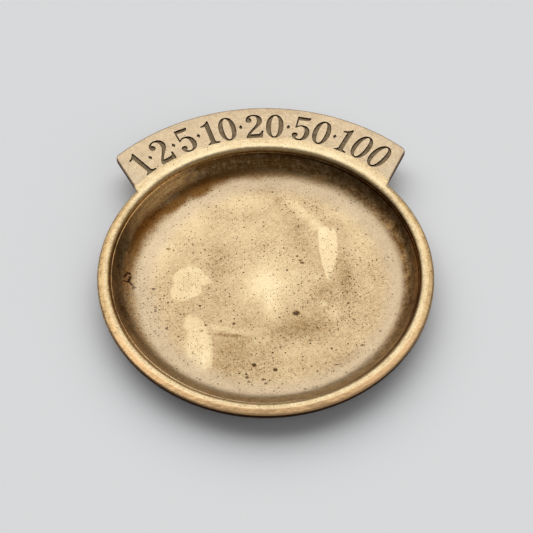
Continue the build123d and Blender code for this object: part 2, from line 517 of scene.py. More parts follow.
def linear(hexColour):
    # sRGB hex to the linear values that a shader reads
    shares = [int(hexColour[place:place + 2], 16) / 255 for place in (1, 3, 5)]
    return [share / 12.92 if share <= 0.04045 else ((share + 0.055) / 1.055) ** 2.4 for share in shares] + [1]


def addNode(tree, kind, settings):
    # Adds a node: a socket is linked to the named input, and any other value is set
    node = tree.nodes.new(kind)
    for name, value in settings.items():
        if isinstance(value, bpy.types.NodeSocket):
            tree.links.new(value, node.inputs[name])
        elif isinstance(name, str) and hasattr(node, name):
            setattr(node, name, value)
        else:
            node.inputs[name].default_value = value
    return node


def newMaterial(name):
    material = bpy.data.materials.new(name)
    material.use_nodes = True
    material.node_tree.nodes.clear()
    return material, material.node_tree


def wear(piece, material):
    piece.data.materials.clear()
    piece.data.materials.append(material)


def trayPlace(tree):
    # Millimetres about the dish's axis
    coordinates = addNode(tree, "ShaderNodeTexCoord", {}).outputs["Object"]
    return addNode(
        tree,
        "ShaderNodeMapping",
        {"Vector": coordinates, "Location": (0, -dishY / mm, 0), "Scale": (1 / mm, 1 / mm, 1 / mm)},
    ).outputs[0]


def together(tree, shares):
    # 1 only where all of the shares are 1
    whole = shares[0]
    for share in shares[1:]:
        whole = addNode(tree, "ShaderNodeMath", {"operation": "MULTIPLY", 0: whole, 1: share}).outputs[0]
    return whole


def raised(tree, value, lifts):
    # The value, raised or lowered by each share times its lift
    for share, lift in lifts:
        value = addNode(
            tree, "ShaderNodeMath", {"operation": "MULTIPLY_ADD", 0: share, 1: lift, 2: value}
        ).outputs[0]
    return value


def tinted(tree, colour, blend, tints):
    # The colour, mixed with or multiplied by each tint as far as its share goes
    for share, tint in tints:
        colour = addNode(
            tree,
            "ShaderNodeMix",
            {"data_type": "RGBA", "blend_type": blend, 0: share, 6: colour, 7: linear(tint)},
        ).outputs[2]
    return colour


def levelShare(tree, value, sides):
    # Goes from 0 to 1 as the value goes from the first level of a side to its second. Two sides make a band.
    shares = []
    for start, end in sides:
        side = addNode(
            tree, "ShaderNodeMapRange", smooth | {"Value": value, "From Min": start, "From Max": end}
        )
        shares.append(side.outputs[0])
    return together(tree, shares)


def unevenness(tree, place, size, detail):
    # Noise about zero, whose lumps have a size in the place's own units
    noise = addNode(tree, "ShaderNodeTexNoise", {"Vector": place, "Scale": 1 / size, "Detail": float(detail)})
    return addNode(tree, "ShaderNodeMath", {"operation": "SUBTRACT", 0: noise.outputs[0], 1: 0.5}).outputs[0]


# Aged sand-cast brass, polished by hand long ago. Sand leaves small pits that hold dark dirt, and handling
# keeps the crest bright. Dirt gathers where the floor turns up, with painted shade on the wall and at its
# foot that grows towards the back, and a band there is greyed by a painted reflection. The floor has toned
# unevenly, with pale marks worn by rubbing; the one in its middle is partly a painted reflection of the
# light. A painted highlight brightens the rim's slope at the front, and painted shade darkens the ledge, the
# recess walls, the tab's edges and the rim's outer edge at the front. Lengths are in mm about the dish's
# axis, and a lift is a share of the way from dirt to bare metal.

brassLook = {
    "tones": [  # share of the way from dirt to bare metal, and its colour
        (0.00, "#54402B"),
        (0.28, "#9D8059"),
        (0.52, "#BCA57F"),
        (0.74, "#CAB48C"),
        (1.00, "#D4C4A0"),
    ],
    "tone": 0.50,
    "roughness": {"dirty": (0.1, 0.50), "bare": (0.9, 0.32)},  # tone, and roughness at it
    "toneWaves": [  # size, detail, reach
        (24.0, 2, 0.20),
        (6.5, 2, 0.15),
        (2.6, 2, 0.16),
        (1.1, 3, 0.28),
        (0.5, 2, 0.64),
    ],
    "edgeWaves": [(3.5, 2, 0.34), (1.3, 3, 0.40), (0.5, 2, 0.60)],  # added away from the floor
    "rimStreaks": (6.0, 0.45, 2, 0.42),  # length, width, detail, reach
    "turnedLines": (34.0, 0.75, 1, 0.70),  # the same, for the fine lines that turning left round the wall
    "crumple": (5.0, 2.0),  # size and reach of what pushes the large marks' outlines about
    "fray": (0.9, 0.9),  # the same, for the small marks
    "rubbedAndSheen": [  # lift, soft share of the edge, and its ellipses: place, half sizes, turn in degrees
        # the first mark, the pale patch in the middle of the floor, is partly wear and partly a painted
        # reflection of the light
        (0.22, 0.90, [((-0.5, -3.0), (8.5, 9.0), 0), ((1.5, -12.0), (4.5, 9.5), 6)]),
        (0.17, 0.95, [((2.0, 0.0), (17.0, 15.0), 20)]),
        (
            0.25,
            0.18,
            [
                ((-32.2, 0.8), (6.9, 6.6), 0),
                ((-35.3, -5.8), (4.9, 5.0), 0),
                ((-27.6, 0.2), (4.6, 2.8), -20),
                ((-31.5, -4.5), (4.6, 5.0), -40),
            ],
        ),
        (0.26, 0.35, [((-28.3, -32.5), (5.6, 12.5), 4), ((-31.0, -22.5), (3.5, 5.0), 10)]),
        (0.12, 0.30, [((-25.2, -40.5), (2.6, 6.0), 0)]),
        (0.14, 0.50, [((-15.5, -25.6), (9.5, 1.5), -14)]),
        (0.16, 0.90, [((-12.0, 41.0), (16.0, 6.5), -5), ((-31.0, 33.0), (10.0, 9.0), 40)]),
        (0.14, 0.90, [((-46.0, 13.0), (7.5, 15.0), -12)]),
        (0.09, 0.90, [((-8.0, 25.0), (15.0, 7.0), 0)]),
        (0.13, 0.90, [((41.0, 18.0), (7.0, 10.0), 15), ((35.0, 33.0), (9.0, 6.0), -40)]),
        (0.15, 0.70, [((27.0, -19.0), (2.8, 3.6), 0), ((23.5, -14.0), (2.0, 2.2), 0)]),
        (0.08, 0.90, [((14.0, -37.0), (18.0, 3.4), 8)]),
        (0.08, 0.30, [((-3.0, -28.5), (4.5, 4.5), 0)]),
        (0.08, 0.90, [((-40.0, 26.0), (15.0, 21.0), -35)]),
    ],
    "toned": [  # the same, where the metal has darkened
        (-0.08, 0.90, [((-33.5, -1.0), (4.0, 4.5), 0)]),
        (-0.13, 0.90, [((-20.0, 9.0), (5.5, 10.0), 0)]),
        (-0.12, 0.90, [((33.5, -3.0), (4.0, 13.0), 0), ((24.0, -8.0), (7.0, 5.0), 0)]),
        (-0.12, 0.90, [((12.0, -25.5), (15.0, 4.8), 8)]),
        (-0.10, 0.90, [((14.0, 22.0), (5.5, 10.0), 20)]),
        (-0.12, 0.80, [((30.0, -41.5), (9.0, 3.0), 25)]),
        (-0.08, 0.90, [((-2.0, -42.0), (9.0, 7.0), 0)]),
        (-0.08, 0.90, [((16.0, -24.0), (26.0, 15.0), 10)]),
        (-0.05, 0.90, [((34.0, 0.0), (9.0, 20.0), 0)]),
        (-0.08, 0.90, [((4.0, 49.0), (6.0, 4.5), 0)]),
        (-0.10, 0.60, [((24.4, 25.3), (1.2, 1.5), 0)]),
        (-0.14, 0.50, [((-16.0, -28.2), (8.0, 0.7), -8)]),
    ],
    "wiped": [  # the same, for marks with a smooth outline
        (
            0.30,
            0.22,
            [((28.6, 13.6), (2.7, 12.4), -7), ((25.4, 12.4), (1.9, 14.6), 4), ((27.0, 21.4), (3.4, 5.4), 12)],
        ),
        (0.22, 0.80, [((16.5, 36.0), (2.8, 9.8), 42), ((22.6, 27.6), (2.6, 6.5), 32)]),
    ],
    "shaded": [(-0.12, 0.90, [((-16.5, -36.5), (9.5, 11.5), 0)])],
    "shadedFrom": (-23.0, -22.2),  # ends sharply at its left, where a cloth wiped past it
    "spots": [  # place, half sizes, turn in degrees, lift
        ((12.0, -18.2), (1.7, 1.4), 0, -0.46),
        ((-6.0, -42.6), (0.95, 0.95), 0, -0.55),
        ((2.3, -45.0), (1.0, 0.9), 0, -0.55),
        ((-41.2, 16.6), (1.0, 0.8), 0, -0.45),
        ((14.8, 8.6), (0.7, 0.6), 0, -0.40),
        ((15.8, 7.3), (0.9, 0.7), 0, -0.48),
        ((38.0, -34.6), (0.7, 0.6), 0, -0.55),
        ((45.8, -28.2), (0.6, 0.6), 0, -0.50),
        ((-9.1, -48.2), (0.8, 0.6), 0, -0.50),
        ((-8.4, -50.2), (0.6, 0.5), 0, -0.45),
        ((-2.6, -49.3), (0.5, 0.5), 0, -0.50),
        ((-1.7, -51.2), (0.7, 0.5), 0, -0.50),
        ((-19.2, -21.1), (0.6, 0.5), 0, -0.45),
        ((-13.7, -22.4), (0.8, 0.6), 0, -0.45),
        ((-25.2, -23.0), (0.7, 0.5), 0, -0.45),
        ((-27.0, -25.6), (0.9, 0.35), 0, -0.40),
        ((33.8, -14.0), (0.6, 0.5), 0, -0.35),
        ((39.0, 39.0), (0.7, 0.5), 0, -0.45),
        ((-39.0, 15.7), (0.5, 0.5), 0, -0.40),
        ((27.2, -43.4), (1.2, 0.35), 0, -0.35),
        ((19.2, -46.2), (0.5, 0.7), 0, -0.35),
        ((-36.5, -28.0), (0.7, 0.5), 0, -0.30),
        ((-47.0, -4.2), (0.9, 0.6), 0, -0.45),
    ],
    "flaw": [  # a small curl at the foot of the wall, where the mould's sand washed in
        ((-58.8, 2.4), (1.7, 0.50), 65, -0.7),
        ((-57.6, 3.7), (1.3, 0.50), -20, -0.7),
        ((-57.2, 0.8), (2.0, 0.60), 75, -0.7),
        ((-58.5, -0.7), (1.3, 0.50), -10, -0.7),
        ((-56.4, -1.6), (1.7, 0.50), -50, -0.7),
        ((-55.5, -3.6), (1.0, 0.40), 70, -0.7),
    ],
    "pits": [  # spacing, largest radius, share of cells with a pit, darkness, depth
        (0.95, 0.26, 0.85, 0.34, 0.06),
        (1.70, 0.38, 0.60, 0.42, 0.12),
        (4.60, 0.55, 0.18, 0.50, 0.20),
    ],
    "pitEdge": 0.14,
    "pitSpread": {"size": 12.0, "levels": (0.42, 0.72), "least": 0.20, "offFloor": 0.12},  # how they gather
    "pitted": [  # where pits lie close: place, half sizes, turn in degrees, how much closer
        ((-42.0, -16.0), (12.0, 15.0), 0, 0.4),
        ((-8.0, -45.0), (15.0, 7.0), 0, 0.4),
        ((9.0, 16.0), (9.0, 9.0), 0, 0.4),
        ((-42.0, 32.0), (9.0, 7.0), 40, 0.4),
        ((33.0, -6.0), (5.0, 14.0), 0, 0.4),
        ((-16.0, 4.0), (8.0, 16.0), 0, 0.4),
        ((-53.0, 4.0), (4.0, 18.0), 0, 0.4),
        ((-31.0, 43.0), (10.0, 5.0), 32, 0.4),
        ((4.0, -55.0), (22.0, 3.0), 0, 0.4),
    ],
    "scratches": [  # turn in degrees, length, width, lift
        (38, 6.0, 0.24, -0.12),
        (-52, 4.0, 0.24, -0.10),
        (8, 7.0, 0.24, 0.10),
    ],
    "scratchLevels": (0.70, 0.78),  # only noise above these shows
    "zones": {  # what is measured, and the levels where the share is 0 and 1, for one side or two. Heights
        # count from the crest, and the other lengths from the rim's radius.
        "floor": ("height", (-6.5, -7.7)),
        "offFloor": ("height", (-7.7, -6.5)),
        "top": ("height", (-1.1, -0.6)),
        "lower": ("height", (-1.0, -2.0)),
        "lowerFront": ("height", (-0.55, -1.15)),
        "recess": ("height", (-1.6, -1.5), (-0.02, -0.12)),
        "bevel": ("height", (-1.9, -1.5), (-0.06, -0.30)),
        "crest": ("radius", (-6.8, -5.2), (-0.6, -2.4)),
        "root": ("radius", (-4.0, -2.5), (2.5, 0.0)),
        "slope": ("radius", (-3.2, -2.4), (2.0, 1.0)),
        "tab": ("radius", (0.5, 3.0), (31.0, 30.0)),
        "wall": ("upWall", (-14.0, -9.0), (0.6, -0.6)),
        "ledge": ("upWall", (-2.5, -2.0), (-0.2, -0.8)),
        "lip": ("upWall", (-1.0, -0.2), (1.8, 0.6)),
        "inside": ("throughWall", (-11.7, -12.7)),
        "outside": ("throughWall", (-12.7, -11.7)),
        "ring": ("dirtLine", (-24.45, -16.95), (-10.45, -14.45)),
        "foot": ("dirtLine", (-15.75, -9.75), (-3.25, -7.25)),
        "back": ("toBack", (0.45, 0.7)),
        "notBack": ("toBack", (0.7, 0.45)),
        "front": ("toBack", (-0.2, -0.8)),
        "left": ("toRight", (-0.6, -0.9)),
        "tabLeft": ("toRight", (-0.69, -0.75)),
        "tabRight": ("toRight", (0.69, 0.75)),
    },
    "lifts": [  # the zones that share it, and the lift
        (["crest", "top"], 0.18),  # hands polish the crest
        (["root", "back", "top"], 0.22),  # most of all where the tab begins
        (["crest", "left", "top"], -0.02),
        # painted highlight on the rim's slope at the front
        (["slope", "front", "top"], 0.42),
        (["outside", "lower"], -0.50),  # the outer edges and the underside were never polished
        # painted shade on the rim's lower outer edge at the front, where the table's shadow meets it
        (["outside", "lowerFront", "front"], -0.65),
        (["wall", "inside"], 0.12),
    ],
    "dirtWaves": [(11.0, 2, 3.5), (0.9, 3, 3.0)],  # size, detail, reach of the line where dirt and painted shade begin
    "dirtLean": (2.0, -1.6),  # how much lower it begins at the back and at the right
    "footCreep": [  # place, half sizes, turn in degrees, how far the dirt creeps onto the floor
        ((-27.0, 47.5), (5.0, 3.5), 30, 3.2),
        ((-38.5, 41.0), (6.5, 4.0), 45, 2.6),
    ],
    "footDirtAndShade": (0.36, 0.5, -0.5),  # share of dirt and painted shade, and how much more at the back and at the right
    # painted shade in the ledge, which hides the highlight it catches, most at the right
    "ledgeShade": (0.40, 0.0, 0.9),
    "lipDirt": (0.5, 0.5, -0.5),
    "wallDirtAndShade": {"levels": (-0.85, -0.2), "shares": (0.06, 0.84)},  # dirt and painted shade on the wall: least at the front, most at the back
    "wallPatches": [  # place, half sizes, turn in degrees, change of the share of dirt and painted shade
        ((-47.0, 40.0), (27.0, 9.0), 50, -0.78),
        ((-62.0, 2.0), (6.0, 16.0), 0, -0.20),
        ((-45.0, -43.0), (20.0, 8.0), -45, -0.40),
        ((0.0, 64.0), (40.0, 7.0), 0, 0.14),
        ((-35.5, 46.5), (8.0, 1.5), 33, 0.85),
        ((-43.5, 39.5), (5.0, 1.3), 45, 0.70),
        ((-29.0, 57.0), (9.0, 1.6), 25, 0.40),
        ((-24.6, 51.2), (3.4, 2.4), 20, -0.60),
        ((26.2, 52.0), (3.0, 2.0), -25, -0.55),
        ((55.5, 25.0), (2.0, 2.8), -30, -0.40),
        ((66.0, 0.0), (6.0, 26.0), 0, -0.46),
    ],
    "wallMottles": [(3.0, 2, 1.2), (1.0, 2, 1.0), (0.45, 2, 0.8)],  # size, detail, reach
    "brushed": {"levels": (0.88, 0.36), "lessAtFront": 0.8},  # it shows where the share of dirt and painted shade is below these
    "softEdges": {"spots": 0.5, "flaw": 0.4, "pitted": 0.8, "footCreep": 0.7, "wallPatches": 0.6},
    "mixed": {  # colour, and how much of it is mixed in
        # painted reflection of the pale sky low behind, in a band where the floor turns up
        "ring": ("#B7A48B", 0.62),
        "tab": ("#BBA88E", 0.60),
        "tabEnds": ("#B3A58E", 0.40),
        # warmer, a painted reflection on the rim's slope at the front
        "slope": ("#EAC498", 0.75),
    },
    "dirtAndShadeTint": "#947652",  # this one and those below multiply the colour
    # patina and painted shade on the walls of the engraved numerals
    "recessPatinaAndShadeTint": "#6B5238",
    # painted shade in the ledge
    "ledgeShadeTint": "#7D6548",
    "lipTint": "#F6DAB1",
    "wallTint": "#FFE2BE",  # where the wall holds little dirt and painted shade
    "slopeTint": "#FFF4E4",
    "frontEdgeShadeTint": "#94795C",  # painted shade on the rim's outer edge at the front, next to the table's shadow
    # painted shade on the tab's rounded edges
    "bevelShadeTint": "#7A5C3C",
    "bevelShadeShare": 0.95,
    "outlineShadeShare": 0.65,  # of the same painted shade, along the tab's outline
    "outlineSides": (1.0, 0.35),  # mm inside the tab's sides where it begins and is full
    "outlineArc": (0.9, 0.35),
    "rowFoot": (0.6, 0.5),  # mm from the numerals' foot towards the axis
    "rowTop": (3.9, 4.0),  # mm from the tab's outer arc towards the axis
    "rowEnd": 1.0,
    "relief": [(0.7, 3, 0.05), (9.0, 2, 0.25)],  # size, detail, height
    "dents": (2.4, 2, 0.12),  # the same, away from the floor
}


def crumpled(tree, place, size, reach):
    # The same place pushed about by noise, so that no mark has a clean outline
    noise = addNode(tree, "ShaderNodeTexNoise", {"Vector": place, "Scale": 1 / size, "Detail": 3.0})
    middle = addNode(
        tree, "ShaderNodeVectorMath", {"operation": "SUBTRACT", 0: noise.outputs["Color"], 1: (0.5, 0.5, 0.5)}
    )
    return addNode(
        tree,
        "ShaderNodeVectorMath",
        {"operation": "MULTIPLY_ADD", 0: middle.outputs[0], 1: (reach, reach, 0), 2: place},
    ).outputs[0]


def streaks(tree, outward, across, length, width, detail):
    # Noise about zero, drawn out along the rim
    lengthwise = addNode(
        tree, "ShaderNodeVectorMath", {"operation": "SCALE", 0: outward, "Scale": rimRadius / mm / length}
    )
    sideways = addNode(tree, "ShaderNodeMath", {"operation": "MULTIPLY", 0: across, 1: 1 / width})
    upright = addNode(tree, "ShaderNodeCombineXYZ", {"Z": sideways.outputs[0]})
    unrolled = addNode(
        tree, "ShaderNodeVectorMath", {"operation": "ADD", 0: lengthwise.outputs[0], 1: upright.outputs[0]}
    )
    return unevenness(tree, unrolled.outputs[0], 1, detail)


def markShare(tree, place, centre, halves, turn, soft):
    # 1 inside an ellipse and 0 outside it, with a soft edge
    reach = 1 + soft / 2
    local = addNode(
        tree,
        "ShaderNodeMapping",
        {
            "vector_type": "TEXTURE",
            "Vector": place,
            "Location": (centre[0], centre[1], 0),
            "Rotation": (0, 0, radians(turn)),
            "Scale": (halves[0] * reach, halves[1] * reach, 1000),
        },
    )
    nearness = addNode(
        tree, "ShaderNodeTexGradient", {"gradient_type": "SPHERICAL", "Vector": local.outputs[0]}
    )
    return levelShare(tree, nearness.outputs["Fac"], [(0, 1.5 * soft / reach)])


def withMarks(tree, tone, place, marks, where):
    # The tone, lifted or lowered by each mark
    for lift, soft, ellipses in marks:
        share = 0.0
        for centre, halves, turn in ellipses:
            one = markShare(tree, place, centre, halves, turn, soft)
            share = addNode(tree, "ShaderNodeMath", {"operation": "MAXIMUM", 0: one, 1: share}).outputs[0]
        tone = raised(tree, tone, [(together(tree, [share, where]), lift)])
    return tone


def withSmallMarks(tree, value, place, name):
    # The value, changed by each single ellipse of a list
    soft = brassLook["softEdges"][name]
    for centre, halves, turn, lift in brassLook[name]:
        value = raised(tree, value, [(markShare(tree, place, centre, halves, turn, soft), lift)])
    return value


def withWaves(tree, value, place, waves):
    for size, detail, reach in waves:
        value = raised(tree, value, [(unevenness(tree, place, size, detail), reach)])
    return value


def pitShare(tree, place, spacing, largest, share, density):
    # Casting pits: some cells of a Voronoi pattern hold one, of a size that differs from cell to cell
    cells = addNode(
        tree,
        "ShaderNodeTexVoronoi",
        {"voronoi_dimensions": "2D", "Vector": place, "Scale": 1 / spacing},
    )
    chance = addNode(tree, "ShaderNodeSeparateColor", {"Color": cells.outputs["Color"]}).outputs["Red"]
    least = raised(tree, 1.0, [(density, -share)])
    radius = addNode(
        tree,
        "ShaderNodeMapRange",
        {"clamp": False, "Value": chance, "From Min": least, "From Max": 1.0, "To Max": largest / spacing},
    )
    inside = addNode(
        tree, "ShaderNodeMath", {"operation": "SUBTRACT", 0: radius.outputs[0], 1: cells.outputs["Distance"]}
    )
    return levelShare(tree, inside.outputs[0], [(0, brassLook["pitEdge"] / spacing)])


def scratchShare(tree, place, turn, length, width):
    # Hairlines that run one way: the highest parts of a noise that is drawn out along them
    local = addNode(
        tree,
        "ShaderNodeMapping",
        {
            "vector_type": "TEXTURE",
            "Vector": place,
            "Rotation": (0, 0, radians(turn)),
            "Scale": (length, width, 1),
        },
    )
    noise = addNode(tree, "ShaderNodeTexNoise", {"Vector": local.outputs[0], "Scale": 0.5, "Detail": 0.0})
    return levelShare(tree, noise.outputs[0], [brassLook["scratchLevels"]])


def leaning(tree, at, middle, toBack, toRight):
    # A share that grows towards one side of the dish
    share = raised(tree, middle, [(at["toBack"], toBack)])
    return addNode(
        tree,
        "ShaderNodeMath",
        {"operation": "MULTIPLY_ADD", 0: at["toRight"], 1: toRight, 2: share, "use_clamp": True},
    ).outputs[0]


def brassMeasures(tree):
    # What the zones are measured by: lengths in mm, and the outward direction's parts to the right and back
    place = trayPlace(tree)
    height = addNode(tree, "ShaderNodeSeparateXYZ", {"Vector": place}).outputs["Z"]
    flat = addNode(tree, "ShaderNodeVectorMath", {"operation": "MULTIPLY", 0: place, 1: (1, 1, 0)}).outputs[0]
    radius = addNode(tree, "ShaderNodeVectorMath", {"operation": "LENGTH", 0: flat}).outputs["Value"]
    outward = addNode(tree, "ShaderNodeVectorMath", {"operation": "NORMALIZE", 0: flat}).outputs[0]
    side = addNode(tree, "ShaderNodeSeparateXYZ", {"Vector": outward})
    run = 1 / tan(radians(dish["wallSlope"]))
    floorHeight = crestHeight / mm - dish["depth"]
    climb = addNode(tree, "ShaderNodeMath", {"operation": "SUBTRACT", 0: height, 1: floorHeight}).outputs[0]
    at = {
        "place": place,
        "uneven": crumpled(tree, place, *brassLook["crumple"]),
        "ragged": crumpled(tree, place, *brassLook["fray"]),
        "flat": flat,
        "outward": outward,
        "height": height,
        "radius": radius,
        "toRight": side.outputs["X"],
        "toBack": side.outputs["Y"],
        "upWall": raised(tree, radius, [(climb, run)]),
        "throughWall": raised(tree, radius, [(height, -run)]),
    }
    line = withWaves(tree, at["upWall"], place, brassLook["dirtWaves"])
    line = raised(tree, line, zip((at["toBack"], at["toRight"]), brassLook["dirtLean"]))
    at["dirtLine"] = withSmallMarks(tree, line, at["uneven"], "footCreep")
    return at


def brassZones(tree, at):
    # The share of each zone of the casting
    starts = {"height": crestHeight / mm, "toBack": 0, "toRight": 0}
    zones = {}
    for name, (measure, *sides) in brassLook["zones"].items():
        start = starts.get(measure, rimRadius / mm)
        zones[name] = levelShare(tree, at[measure], [(start + low, start + high) for low, high in sides])
    return zones


def floorTone(tree, at, zones):
    marks = brassLook["rubbedAndSheen"] + brassLook["toned"]
    tone = withMarks(tree, brassLook["tone"], at["uneven"], marks, zones["floor"])
    tone = withMarks(tree, tone, at["place"], brassLook["wiped"], zones["floor"])
    across = addNode(tree, "ShaderNodeSeparateXYZ", {"Vector": at["uneven"]}).outputs["X"]
    pastCloth = levelShare(tree, across, [brassLook["shadedFrom"]])
    tone = withMarks(tree, tone, at["uneven"], brassLook["shaded"], pastCloth)
    return withWaves(tree, tone, at["place"], brassLook["toneWaves"])


def rimTone(tree, tone, at, zones):
    # Off the floor the tone is more uneven, and streaked along the rim and round the wall
    *streak, reach = brassLook["rimStreaks"]
    waves = [(streaks(tree, at["outward"], at["radius"], *streak), reach)]
    for size, detail, reach in brassLook["edgeWaves"]:
        waves.append((unevenness(tree, at["place"], size, detail), reach))
    tone = raised(tree, tone, [(together(tree, [wave, zones["offFloor"]]), reach) for wave, reach in waves])
    for names, lift in brassLook["lifts"]:
        tone = raised(tree, tone, [(together(tree, [zones[name] for name in names]), lift)])
    *streak, reach = brassLook["turnedLines"]
    lines = streaks(tree, at["outward"], at["upWall"], *streak)
    return raised(tree, tone, [(together(tree, [lines, zones["wall"], zones["inside"]]), reach)])


def withPits(tree, tone, at, zones):
    # Pits lie closer together in some places than in others, and few are away from the floor
    spread = brassLook["pitSpread"]
    noise = addNode(
        tree, "ShaderNodeTexNoise", {"Vector": at["place"], "Scale": 1 / spread["size"], "Detail": 2.0}
    )
    density = levelShare(tree, noise.outputs[0], [spread["levels"]])
    density = raised(tree, spread["least"], [(density, 1 - spread["least"])])
    density = withSmallMarks(tree, density, at["uneven"], "pitted")
    onFloor = raised(tree, spread["offFloor"], [(zones["floor"], 1 - spread["offFloor"])])
    density = together(tree, [density, onFloor])
    depth = 0.0
    for spacing, largest, share, darkness, deep in brassLook["pits"]:
        pit = pitShare(tree, at["ragged"], spacing, largest, share, density)
        tone = raised(tree, tone, [(pit, -darkness)])
        depth = raised(tree, depth, [(pit, -deep)])
    return tone, depth


def wallDirtAndShadeShare(tree, at):
    # How much dirt and painted shade the wall holds, in patches, before it is held to the wall
    look = brassLook["wallDirtAndShade"]
    least, most = look["shares"]
    share = raised(tree, least, [(levelShare(tree, at["toBack"], [look["levels"]]), most - least)])
    share = withSmallMarks(tree, share, at["uneven"], "wallPatches")
    return withWaves(tree, share, at["place"], brassLook["wallMottles"])


def recessShare(tree, at, zones):
    # The walls of the engraved numerals
    foot, outer = footRadius / mm, tabRadius / mm
    sides = [
        [foot - inset for inset in brassLook["rowFoot"]],
        [outer - inset for inset in brassLook["rowTop"]],
    ]
    numeralAngle = (rowLength / 2 + brassLook["rowEnd"]) * mm / middleRadius
    ahead = addNode(
        tree, "ShaderNodeMath", {"operation": "GREATER_THAN", 0: at["toBack"], 1: cos(numeralAngle)}
    ).outputs[0]
    return together(tree, [levelShare(tree, at["radius"], sides), zones["recess"], ahead])


def outlineShadeShare(tree, at, zones):
    # Painted shade along the tab's straight sides and its outer arc, where their rounded edges fall away
    position = addNode(tree, "ShaderNodeSeparateXYZ", {"Vector": at["flat"]})
    across = addNode(tree, "ShaderNodeMath", {"operation": "ABSOLUTE", 0: position.outputs["X"]})
    across = together(tree, [across.outputs[0], cos(tabLean)])
    across = raised(tree, across, [(position.outputs["Y"], -sin(tabLean))])
    nearSide = levelShare(tree, across, [[tabOffset / mm - inset for inset in brassLook["outlineSides"]]])
    nearArc = levelShare(tree, at["radius"], [[tabRadius / mm - inset for inset in brassLook["outlineArc"]]])
    near = addNode(tree, "ShaderNodeMath", {"operation": "MAXIMUM", 0: nearSide, 1: nearArc}).outputs[0]
    return together(tree, [near, zones["tab"], brassLook["outlineShadeShare"]])


def brassColour(tree, tone, at, zones):
    ramp = addNode(tree, "ShaderNodeValToRGB", {"Fac": tone})
    while len(ramp.color_ramp.elements) < len(brassLook["tones"]):
        ramp.color_ramp.elements.new(0.5)
    for element, (position, shade) in zip(ramp.color_ramp.elements, brassLook["tones"]):
        element.position = position
        element.color = linear(shade)

    # Greyer where the floor turns up, a painted reflection of the pale sky low behind, and on the tab; warmer
    # on the rim's slope at the front, a painted reflection of the light overhead
    # painted shade on the rim's lower outer edge at the front
    frontEdgeShade = together(tree, [zones["outside"], zones["lowerFront"], zones["front"]])
    notFrontEdgeShade = raised(tree, 1.0, [(frontEdgeShade, -1)])
    ends = raised(tree, zones["tabRight"], [(zones["tabLeft"], 1)])
    mixed = {
        "ring": [zones["ring"]],
        "tab": [zones["tab"]],
        "tabEnds": [zones["tab"], ends],
        "slope": [zones["slope"], zones["front"], notFrontEdgeShade],
    }
    colour = ramp.outputs[0]
    for name, (tint, share) in brassLook["mixed"].items():
        colour = tinted(tree, colour, "MIX", [(together(tree, mixed[name] + [share]), tint)])

    # Dirt and painted shade in the round at the foot of the wall and on the wall, most at the back; painted
    # shade in the ledge and on the tab's edges; patina with painted shade in the recesses
    wallDirtAndShade = wallDirtAndShadeShare(tree, at)
    footDirtAndShade = together(tree, [zones["foot"], leaning(tree, at, *brassLook["footDirtAndShade"])])
    heldDirtAndShade = together(tree, [zones["wall"], wallDirtAndShade, zones["inside"]])
    dirt = addNode(
        tree, "ShaderNodeMath", {"operation": "MAXIMUM", 0: footDirtAndShade, 1: heldDirtAndShade, "use_clamp": True}
    ).outputs[0]
    # painted shade in the ledge, hiding the highlight its upper face catches
    ledge = together(tree, [zones["ledge"], leaning(tree, at, *brassLook["ledgeShade"])])
    lip = together(tree, [zones["lip"], leaning(tree, at, *brassLook["lipDirt"]), zones["inside"]])
    brushed = levelShare(tree, wallDirtAndShade, [brassLook["brushed"]["levels"]])
    lessAtFront = raised(tree, 1.0, [(zones["front"], -brassLook["brushed"]["lessAtFront"])])
    brushed = together(tree, [brushed, zones["wall"], zones["inside"], lessAtFront])
    tints = [
        (outlineShadeShare(tree, at, zones), brassLook["bevelShadeTint"]),
        # dirt and painted shade, most at the back
        (dirt, brassLook["dirtAndShadeTint"]),
        (ledge, brassLook["ledgeShadeTint"]),
        # patina and painted shade on the recess walls
        (recessShare(tree, at, zones), brassLook["recessPatinaAndShadeTint"]),
        (lip, brassLook["lipTint"]),
        (together(tree, [zones["slope"], zones["notBack"]]), brassLook["slopeTint"]),
        (brushed, brassLook["wallTint"]),
        # painted shade on the tab's rounded edges
        (together(tree, [zones["bevel"], zones["tab"], brassLook["bevelShadeShare"]]), brassLook["bevelShadeTint"]),
        (frontEdgeShade, brassLook["frontEdgeShadeTint"]),
    ]
    return tinted(tree, colour, "MULTIPLY", tints)


def brassRelief(tree, depth, at, zones):
    # Pits, grain and slow swells of the casting, with dents away from the floor
    for size, detail, reach in brassLook["relief"]:
        noise = addNode(
            tree, "ShaderNodeTexNoise", {"Vector": at["place"], "Scale": 1 / size, "Detail": float(detail)}
        )
        depth = raised(tree, depth, [(noise.outputs[0], reach)])
    size, detail, reach = brassLook["dents"]
    dents = addNode(
        tree, "ShaderNodeTexNoise", {"Vector": at["place"], "Scale": 1 / size, "Detail": float(detail)}
    )
    depth = raised(tree, depth, [(together(tree, [dents.outputs[0], zones["offFloor"]]), reach)])
    return addNode(tree, "ShaderNodeBump", {"Height": depth, "Distance": mm, "Strength": 1.0}).outputs[0]


